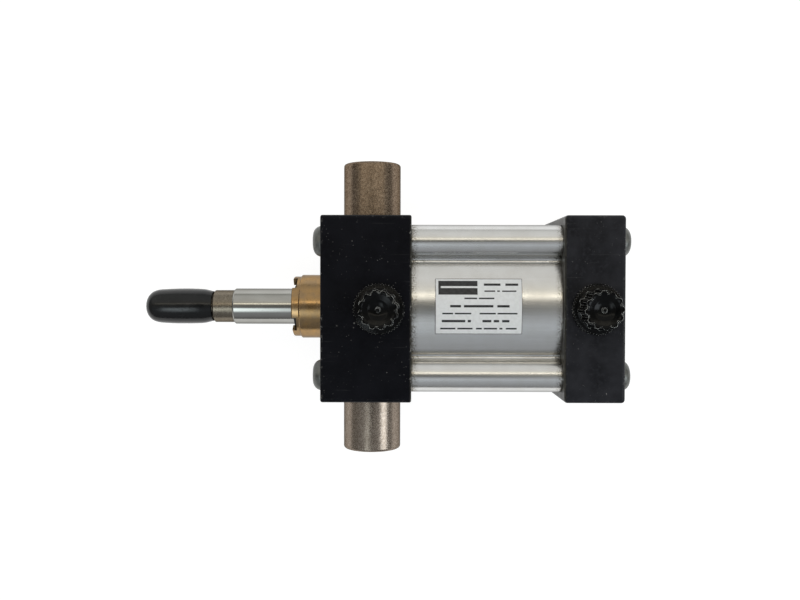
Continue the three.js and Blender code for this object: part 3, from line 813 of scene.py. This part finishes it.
def wiper():
    """The scraper lip round the rod, with its heel held in the gland."""
    heel_from, heel_to, heel_r = WIPER_SEAT + SEAL_GAP, WIPER_TO - SEAL_GAP, WIPER_SEAT_R - SEAL_GAP
    tip = GLAND_TIP + 0.4
    return turned([
        (heel_to, ROD_R + 0.6), (heel_to, heel_r), (heel_from, heel_r), (heel_from, WIPER_R - SEAL_GAP),
        (tip + 0.5, WIPER_R - 0.3), (tip + 0.1, WIPER_R - 0.6),
        (tip + 0.3, ROD_R + 0.9), (tip, ROD_R + 0.5), (tip, ROD_R + RUN), (WIPER_THROAT, ROD_R + 0.6),
    ])


def helix(x, angle, pitch, depth):
    """How deep a V-thread is cut at a point."""
    turn = (x / pitch + angle / TAU) % 1
    return depth * (1 - abs(2 * turn - 1))


def thread_rings(start, end, radius):
    """Profile points close enough together for a helix to be cut in them."""
    count = round((end - start) / THREAD_PITCH * THREAD_SAMPLES)
    return [(start + (end - start) * i / count, radius) for i in range(count + 1)]


def piston_rod():
    """The rod: a chromed shank, and plain steel at its neck, its threaded stud and the piston's stud."""
    start, end = ROD_TIP + 1.6, NECK_TIP - 2

    def relief(x, radius, angle):
        if not start < x < end:
            return 0
        fade = min(1, (x - start) / 1.5, (end - x) / 2)
        return helix(x, angle, THREAD_PITCH, ROD_THREAD_DEPTH) * fade

    threaded_stud = [
        (ROD_TIP, 0), (ROD_TIP, STUD_R - 1.5), *thread_rings(start, end, STUD_R), (end + 0.2, STUD_R - 0.5),
    ]
    neck = [
        (NECK_TIP, STUD_R - 0.5), (NECK_TIP + 0.65, NECK_R - 0.08), (NECK_TIP + 0.9, NECK_R),
        (ROD_SHOULDER, NECK_R),
    ]
    shank = [
        (ROD_SHOULDER, NECK_R + 0.12), (ROD_SHOULDER + 0.15, NECK_R + 0.3),
        (ROD_SHOULDER + 0.6, ROD_R - 0.07), (ROD_SHOULDER + 0.85, ROD_R), (PISTON_SEAT, ROD_R),
    ]
    piston_stud = [(PISTON_SEAT, STUD_R), (ROD_END - 1, STUD_R), (ROD_END, STUD_R - 1), (ROD_END, 0)]
    rod = turned(threaded_stud + neck + shank + piston_stud, MEDIUM, relief)
    pale, brown = (0.275, 0.240, 0.190), (0.165, 0.142, 0.112)
    rod.data.materials.append(hard_chrome())
    rod.data.materials.append(browned_steel("turned_steel", (1, 6, 6), 0.5, pale, brown))
    for face in rod.data.polygons:
        face.material_index = 0 if ROD_SHOULDER < face.center.x < PISTON_SEAT else 1
    return rod


# The thread cap's outline, as (x, radius): its nub, its domed end, its waisted wall, its rim, and its inside.
PROTECTOR_NUB = [(-102.1, 0), (-102.0, 0.35), (-101.75, 0.7), (-101.5, 1.0), (-101.42, 1.6)]
PROTECTOR_DOME = [
    (-101.25, 2.6), (-100.9, 3.7), (-100.3, 4.8), (-99.5, 5.7), (-98.5, 6.5), (-97.3, 7.05), (-96.0, 7.4),
    (-94.5, 7.6),
]
PROTECTOR_WALL = [
    (-92.5, 7.72), (-90.0, 7.84), (-87.0, 7.92), (-84.0, 7.94), (-81.0, 7.93), (-78.5, 7.86), (-76.5, 7.76),
    (-75.0, 7.6), (-73.9, 7.36), (-72.9, 7.1),
]
PROTECTOR_RIM = [(-72.1, 6.9), (-71.6, 6.8), (-71.35, 6.7), (-71.3, 6.58)]
PROTECTOR_INSIDE = [(-71.45, 6.47), (-96.5, 6.45), (-98.2, 5.4), (-98.9, 4.1), (-99.3, 2.2), (-99.3, 0)]
PROTECTOR_WAVER = 0.035  # half the depth of its wall's unevenness
PROTECTOR_EVEN_R, PROTECTOR_EVEN_X = 6.6, -71.4  # nearer the axis, and beyond the lip, it is even


def thread_protector():
    """A soft dipped cap: a round end with a drip nub, a slight waist, and a rim that curls in."""
    outside = PROTECTOR_NUB + PROTECTOR_DOME + PROTECTOR_WALL + PROTECTOR_RIM

    def relief(x, radius, angle):
        if radius < PROTECTOR_EVEN_R or x > PROTECTOR_EVEN_X:
            return 0
        return PROTECTOR_WAVER * (1 + math.sin(2 * angle + 0.16 * x) * math.cos(0.31 * x + angle))

    return turned(outside + PROTECTOR_INSIDE, MEDIUM, relief)


PLUG_FLUTES = 12
PLUG_FLUTE_DEPTH = 0.8
PLUG_KNURLS = 48
PLUG_KNURL_DEPTH, PLUG_KNURL_ROOT_R = 0.34, 10
PLUG_THREAD_DEPTH = 0.6
PLUG_SHANK, PLUG_FLANGE, PLUG_HEIGHT = 9.5, 1.6, 13.0
PLUG_SHANK_R, PLUG_FLANGE_R, PLUG_HUB_R, PLUG_RECESS_R = 8.25, 10.55, 8.2, 6.3
PLUG_TAPER = 0.35  # how much narrower the hub is at its top
PLUG_HOLLOW, PLUG_HOLLOW_R = 9, 4.6  # the hollow that runs up into the hub from the shank's end


def port_plug():
    """A moulded plug: a hollow threaded shank, a knurled flange, and a fluted hub with a dished recess."""
    start, end = -PLUG_SHANK + 0.8, -0.9
    foot, rim = PLUG_FLANGE + 0.35, PLUG_HEIGHT - 0.05
    levels = 6
    hollow = [(PLUG_HOLLOW, 0), (PLUG_HOLLOW, PLUG_HOLLOW_R), (-PLUG_SHANK, PLUG_HOLLOW_R)]
    shank = [
        (-PLUG_SHANK, 7.4), *thread_rings(start, end, PLUG_SHANK_R), (-0.7, PLUG_HUB_R), (FIT, PLUG_HUB_R),
    ]
    flange = [
        (FIT, PLUG_FLANGE_R - 0.1), (0.3, PLUG_FLANGE_R), (1.0, PLUG_FLANGE_R), (1.35, PLUG_FLANGE_R - 0.15),
        (PLUG_FLANGE, 9.9), (PLUG_FLANGE, 8.7), (PLUG_FLANGE + 0.1, 8.35),
    ]
    hub = [
        (foot + (rim - 0.65 - foot) * i / levels, PLUG_HUB_R - PLUG_TAPER * i / levels)
        for i in range(levels + 1)
    ]
    edge = [
        (rim - 0.2, 7.82), (rim - 0.04, 7.75), (rim, 7.6), (rim, 7.0), (rim - 0.04, 6.7), (rim - 0.2, 6.4),
    ]
    recess = [(rim - 0.35, 6.0), (rim - 0.35, 4.3), (rim - 0.45, 4.0)]
    dish = [(rim - 0.75, 3.4), (rim - 1.0, 2.6), (rim - 1.15, 1.8), (rim - 1.2, 1.1)]
    nub = [(rim - 1.1, 0.95), (rim - 0.8, 0.8), (rim - 0.65, 0.4), (rim - 0.65, 0)]

    def relief(x, radius, angle):
        if start < x < end and radius > PLUG_RECESS_R:
            return helix(x, angle, THREAD_PITCH, PLUG_THREAD_DEPTH) * min(1, (x - start) / 1.5)
        if 0 < x < PLUG_FLANGE and radius > PLUG_KNURL_ROOT_R:
            return PLUG_KNURL_DEPTH / 2 * (1 + math.cos(PLUG_KNURLS * angle))
        if x >= foot and radius > PLUG_RECESS_R:
            wave = max(-1, min(1, 1.5 * math.cos(PLUG_FLUTES * angle)))
            fade = min(1, (radius - PLUG_RECESS_R) / 1.2)
            return PLUG_FLUTE_DEPTH / 2 * (1 - wave) * fade
        return 0

    profile = hollow + shank + flange + hub + edge + recess + dish + nub
    return moved(turned(profile, 4 * PLUG_KNURLS, relief), turn_to("Z"))


LABEL_LENGTH, LABEL_WIDTH = 35.4, 22.6
LABEL_FRAME = 0.15
BAR_SHARE = 0.5  # how much of a line's height its bar fills
HEADING_BLOCK = (1.2, 17.2, 0.9, 6.6)  # left, right, top and bottom of the two dark bars in the corner
HEADING_GAP = (3.1, 3.9)  # the pale line between them
FILM_BACK, FILM_FACE = BODY_R + 0.11, BODY_R + 0.20
INK_BACK, INK_FACE = BODY_R + 0.19, BODY_R + 0.215
LABEL_STRIP = 1.5  # the longest flat across the label's curve

# Each line of print: its top, its height, and where its words start and end. A bar stands for each word.
PRINT_LINES = (
    (1.5, 1.9, ((19.8, 26.6), (28.6, 33.8))),
    (4.6, 1.1, ((20.0, 24.4), (25.2, 26.3), (27.2, 33.0))),
    (7.5, 1.2, ((11.8, 17.0), (17.7, 24.0))),
    (10.3, 1.9, ((6.0, 10.4), (11.6, 23.6), (25.2, 30.2))),
    (13.6, 1.2, ((2.8, 7.2), (7.9, 14.6), (18.0, 24.6), (25.3, 33.4))),
    (16.3, 1.9, ((2.6, 12.2), (13.2, 14.5), (19.2, 22.8), (23.8, 26.0), (27.2, 30.2))),
    (19.7, 1.3, ((2.0, 8.2), (9.0, 15.2), (16.6, 19.0), (19.8, 25.2), (26.2, 27.4), (28.8, 33.2))),
)


def label_print():
    """The inked rectangles, as (left, right, top, bottom) in millimetres from the label's top left corner."""
    left, right, top, bottom = HEADING_BLOCK
    gap_top, gap_bottom = HEADING_GAP
    inked = [
        (left, right, top, gap_top), (left, right, gap_bottom, bottom), (left, left + 1, gap_top, gap_bottom),
    ]
    near, far, low = LABEL_FRAME, LABEL_LENGTH - LABEL_FRAME, LABEL_WIDTH - LABEL_FRAME
    inked += [
        (0, LABEL_LENGTH, 0, near), (0, LABEL_LENGTH, low, LABEL_WIDTH),
        (0, near, near, low), (far, LABEL_LENGTH, near, low),
    ]
    for top, height, words in PRINT_LINES:
        margin = height * (1 - BAR_SHARE) / 2
        inked += [(left, right, top + margin, top + height - margin) for left, right in words]
    return inked


def label(film, ink):
    """A curved film with the print laid on it."""
    start = extent("rating_label", X)[0]
    low, high = (math.asin(y / (BODY_R + 0.25)) for y in extent("rating_label", Y))
    verts, faces, inks = [], [], []

    def patch(box, back, face, ink_index):
        """A curved slab over a rectangle of the label, between two radii."""
        left, right, top, bottom = box
        steps = max(1, math.ceil((bottom - top) / LABEL_STRIP))
        first = len(verts)
        for i in range(steps + 1):
            angle = high + (low - high) * (top + (bottom - top) * i / steps) / LABEL_WIDTH
            for x, radius in ((left, back), (left, face), (right, face), (right, back)):
                verts.append((start + x, radius * math.sin(angle), radius * math.cos(angle)))
        rings = [[first + 4 * i + k for k in range(4)] for i in range(steps + 1)]
        made = [rings[0][::-1], rings[-1]]
        for a, b in zip(rings, rings[1:]):
            made += [[a[k], a[(k + 1) % 4], b[(k + 1) % 4], b[k]] for k in range(4)]
        faces.extend(made)
        inks.extend([ink_index] * len(made))

    patch((0, LABEL_LENGTH, 0, LABEL_WIDTH), FILM_BACK, FILM_FACE, 0)
    for box in label_print():
        patch(box, INK_BACK, INK_FACE, 1)
    obj = scratch(verts, faces)
    obj.data.materials.append(film)
    obj.data.materials.append(ink)
    for polygon, ink_index in zip(obj.data.polygons, inks):
        polygon.material_index = ink_index
    return obj


SOIL_AND_HIGHLIGHT_FAR, SOIL_AND_HIGHLIGHT_NEAR = 0.7, 0.3  # from the barrel's side of a block, where its pale rim (partly oil dirt, partly a painted highlight) begins and is full
SCREW_TWIST = 17  # degrees from one screw's socket to the next
PLUG_TURNS = {"head": 11, "cap": 4}  # degrees

aluminium = drawn_aluminium()
rubber = seal_rubber()
oxide = black_oxide()

head_black = black_anodised(
    "head_anodised", dark=(0.0012, 0.0014, 0.0032), cloudy=(0.0044, 0.0047, 0.0078), shine=0.09,
    soil_and_highlight=(HEAD_BACK - SOIL_AND_HIGHLIGHT_FAR, HEAD_BACK - SOIL_AND_HIGHLIGHT_NEAR),
)
cap_black = black_anodised(
    "cap_anodised", dark=(0.0036, 0.0039, 0.0066), cloudy=(0.0190, 0.0195, 0.0250), shine=0.20,
    soil_and_highlight=(CAP_FRONT + SOIL_AND_HIGHLIGHT_FAR, CAP_FRONT + SOIL_AND_HIGHLIGHT_NEAR),
)
piece("head_block", head(), head_black, "cylinder_body", "black_anodised", "rod_end_head")
piece("cap_block", cap(), cap_black, "cylinder_body", "black_anodised", "cap_end_cover")
piece("barrel_extrusion", barrel(), aluminium, "cylinder_body", "bare_aluminium", "barrel")
piece("gland_cartridge", gland(), bearing_bronze(), "cylinder_body", "bronze", "rod_gland")
piece("wiper_lip", wiper(), rubber, "cylinder_body", "seal_rubber", "rod_wiper")
for side, way, pale, brown in (
    ("left", "Y", (0.35, 0.270, 0.200), (0.105, 0.072, 0.048)),
    ("right", "-Y", (0.41, 0.350, 0.295), (0.185, 0.145, 0.112)),
):
    patina = browned_steel(f"browned_steel_{side}", (1, 1.6, 1), 1.0, pale, brown)
    piece(f"trunnion_{side}", trunnion(way), patina, "cylinder_body", "brown_steel", f"trunnion_pin_{side}")

for end, face, turn, length in (
    ("head", HEAD_FRONT - FIT, 0, HEAD_BACK - HEAD_FRONT + SCREW_BITE),
    ("cap", CAP_BACK + FIT, TAU / 2, CAP_BACK - CAP_FRONT + SCREW_BITE),
):
    for i, (sy, sz) in enumerate(CORNERS):
        place = Matrix.Translation((face, sy * CORNER, sz * CORNER)) @ Matrix.Rotation(turn, 4, "Z")
        twist = Matrix.Rotation(math.radians(SCREW_TWIST * i), 4, "X")
        screw = moved(corner_screw(length), place @ twist)
        name, node = f"{end}_button_screw_{i + 1}", f"{end}_screw_{i + 1}"
        piece(name, screw, oxide, "cylinder_body", "black_steel", node)

plastic = moulded_plastic()
for end, x in (("head", HEAD_PORT_X), ("cap", CAP_PORT_X)):
    place = Matrix.Translation((x, 0, AXIS_Z)) @ Matrix.Rotation(math.radians(PLUG_TURNS[end]), 4, "Z")
    plug = moved(port_plug(), place)
    piece(f"{end}_plug", plug, plastic, f"{end}_plug", "black_plastic", f"{end}_port_plug")

film = printed_film("label_film", (0.84, 0.85, 0.86), (0.74, 0.745, 0.75))
ink = printed_film("label_ink", (0.014, 0.014, 0.016), (0.050, 0.050, 0.053))
piece("label_film", label(film, ink), film, "cylinder_body", "label_film", "rating_label")

piece("rod", piston_rod(), None, "rod", "chrome", "piston_rod")
piece("thread_cap", thread_protector(), dipped_vinyl(), "protector", "black_vinyl", "thread_protector")


# ---- Hidden CAD nodes that keep their shape ----

RUBBER_RINGS = (
    "rod_seal", "gland_o_ring", "head_o_ring", "cap_o_ring", "piston_static_o_ring", "piston_seal_front",
    "piston_seal_back",
)
INNER = {"piston": aluminium, "piston_nut": oxide, "piston_wear_band": bearing_plastic()}
INNER.update(dict.fromkeys(RUBBER_RINGS, rubber))
for node, material in INNER.items():
    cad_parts[node].data.materials.clear()
    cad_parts[node].data.materials.append(material)


# ---- Floor, light and camera ----

FLOOR_HALF = 8  # metres
FLOOR_GREY = (0.30, 0.30, 0.30)
FLOOR_GLOW = 0.88  # the paper's own light, which keeps it near white


def floor():
    """A sheet of pale paper under the object."""
    half = FLOOR_HALF
    corners = [(-half, -half, 0), (half, -half, 0), (half, half, 0), (-half, half, 0)]
    paper = Finish(
        "floor_paper", Base_Color=colour(FLOOR_GREY), Roughness=0.9, Specular_IOR_Level=0.0,
        Emission_Color=colour((1, 1, 1)), Emission_Strength=FLOOR_GLOW,
    )
    obj = scratch(corners, [(0, 1, 2, 3)])
    obj.name = "floor"
    obj.data.name = "floor"
    obj.data.materials.append(paper.material)


# The room's brightness by direction, round the rod axis from straight down: 0.25 is -Y, 0.5 up, 0.75 +Y.
ROOM = (
    (0.00, (0.70, 0.70, 0.70)),
    (0.22, (0.70, 0.70, 0.70)),
    (0.25, (0.16, 0.16, 0.16)),
    (0.31, (0.32, 0.33, 0.34)),
    (0.39, (0.40, 0.42, 0.44)),
    (0.43, (0.50, 0.53, 0.56)),
    (0.47, (0.36, 0.37, 0.38)),
    (0.50, (0.36, 0.36, 0.34)),
    (0.53, (0.38, 0.36, 0.32)),
    (0.56, (0.80, 0.76, 0.66)),
    (0.60, (0.80, 0.79, 0.76)),
    (0.69, (0.76, 0.76, 0.74)),
    (0.75, (0.50, 0.50, 0.48)),
    (0.78, (0.70, 0.70, 0.70)),
    (1.00, (0.70, 0.70, 0.70)),
)
# Distances below are parts of a direction of length 1.
OVERHEAD_EDGE = (0.08, 0.26)  # how far from straight up the dim patch starts to fade, and ends
OVERHEAD_LEVEL = 0.26
END_WALL_EDGE = (0.74, 0.90)  # how far along X the plain end walls start, and are full
END_WALL = (0.28, 0.28, 0.27)
WINDOW_RISE, WINDOW_FALL = (0.385, 0.425), (0.475, 0.455)  # its two long edges, as places in ROOM
WINDOW_FAR, WINDOW_NEAR = (-0.44, -0.32), (-0.09, -0.28)  # its two ends along X
WINDOW_COLOUR = (0.86, 0.97, 1.0)
WINDOW_GLOW = 3.4


def room():
    """A soft surround: a cool side, a warm side, plain end walls, a dim patch overhead and a small window."""
    world = bpy.data.worlds.new("room")
    bpy.context.scene.world = world
    world.use_nodes = True
    tree = world.node_tree

    def node(kind, inputs=(), **settings):
        return add_node(tree, kind, inputs, **settings)

    def math_of(operation, *values):
        return calculate(tree, operation, *values)

    def glowing(rgb, strength):
        inputs = {0: rgb, "Scale": strength}
        return node("ShaderNodeVectorMath", inputs, operation="SCALE").outputs["Vector"]

    way = node("ShaderNodeTexCoord").outputs["Generated"]
    parts = node("ShaderNodeSeparateXYZ", {"Vector": way})
    along, across, up = (parts.outputs[axis] for axis in "XYZ")
    place = remap(tree, math_of("ARCTAN2", across, up), -math.pi, math.pi)
    ramp = node("ShaderNodeValToRGB", {"Fac": place})
    stops = ramp.color_ramp.elements
    while len(stops) < len(ROOM):
        stops.new(0.5)
    for stop, (position, rgb) in zip(stops, ROOM):
        stop.position = position
        stop.color = colour(rgb)

    flat = node("ShaderNodeVectorMath", {0: way, 1: (1, 1, 0)}, operation="MULTIPLY").outputs["Vector"]
    off_vertical = node("ShaderNodeVectorMath", {0: flat}, operation="LENGTH").outputs["Value"]
    level = remap(tree, off_vertical, *OVERHEAD_EDGE, OVERHEAD_LEVEL, 1.0)
    above = math_of("GREATER_THAN", up, 0.0)
    strength = node("ShaderNodeMix", {0: above, 2: 1.0, 3: level}, data_type="FLOAT").outputs[0]
    sides = glowing(ramp.outputs["Color"], strength)
    at_ends = remap(tree, math_of("ABSOLUTE", along), *END_WALL_EDGE)
    walls = mixed(tree, at_ends, sides, colour(END_WALL))

    band = math_of("MULTIPLY", remap(tree, place, *WINDOW_RISE), remap(tree, place, *WINDOW_FALL))
    band = math_of("MULTIPLY", band, remap(tree, along, *WINDOW_FAR))
    glow = math_of("MULTIPLY", band, remap(tree, along, *WINDOW_NEAR, 0.0, WINDOW_GLOW))
    both = {0: walls, 1: glowing(WINDOW_COLOUR, glow)}
    total = node("ShaderNodeVectorMath", both, operation="ADD").outputs["Vector"]
    tree.links.new(total, tree.nodes["Background"].inputs["Color"])


def lights():
    """A long strip parallel to the rod, up on its +Y side, and a small lamp beyond the cap."""
    area_light(
        "strip", size=(1.3, 0.060), distance=0.62, tilt=(-16, 0), aim=(0.03, 0), radiance=1.6,
        rgb=(1.0, 0.93, 0.78),
    )
    area_light(
        "lamp", size=(0.28, 0.24), distance=0.70, tilt=(10, 50), aim=(0, -0.054), radiance=4.2,
        rgb=(0.88, 0.95, 1.0),
    )


def area_light(name, size, distance, tilt, aim, radiance, rgb):
    """A rectangle that shines on a point at the rod's height.

    size, distance and aim are in metres, and tilt is in degrees about X and Y.
    """
    light = bpy.data.lights.new(name, "AREA")
    light.shape = "RECTANGLE"
    light.size, light.size_y = size
    light.energy = radiance * math.pi * size[0] * size[1]
    light.color = rgb
    obj = new_object(name, light)
    about_x, about_y = (math.radians(angle) for angle in tilt)
    turn = Matrix.Rotation(about_y, 4, "Y") @ Matrix.Rotation(about_x, 4, "X")
    obj.matrix_world = Matrix.Translation((*aim, AXIS_Z * MM)) @ turn @ Matrix.Translation((0, 0, distance))


CAMERA_AT = (15.4, 10.4, 409.4)  # millimetres in the row frame, almost straight above the barrel
CAMERA_TILT = (-1.158, 0.454, 0.114)  # degrees about X, Y and Z
CAMERA_LENS, CAMERA_SENSOR = 37.13, 36
CAMERA_NEAR = 0.01  # metres


def camera():
    """A camera that looks almost straight down."""
    data = bpy.data.cameras.new("camera")
    data.lens = CAMERA_LENS
    data.sensor_width = CAMERA_SENSOR
    data.clip_start = CAMERA_NEAR
    obj = new_object("camera", data)
    obj.location = [c * MM for c in CAMERA_AT]
    obj.rotation_euler = [math.radians(a) for a in CAMERA_TILT]
    bpy.context.scene.camera = obj


floor()
room()
lights()
camera()
bpy.context.scene.view_settings.view_transform = "Standard"
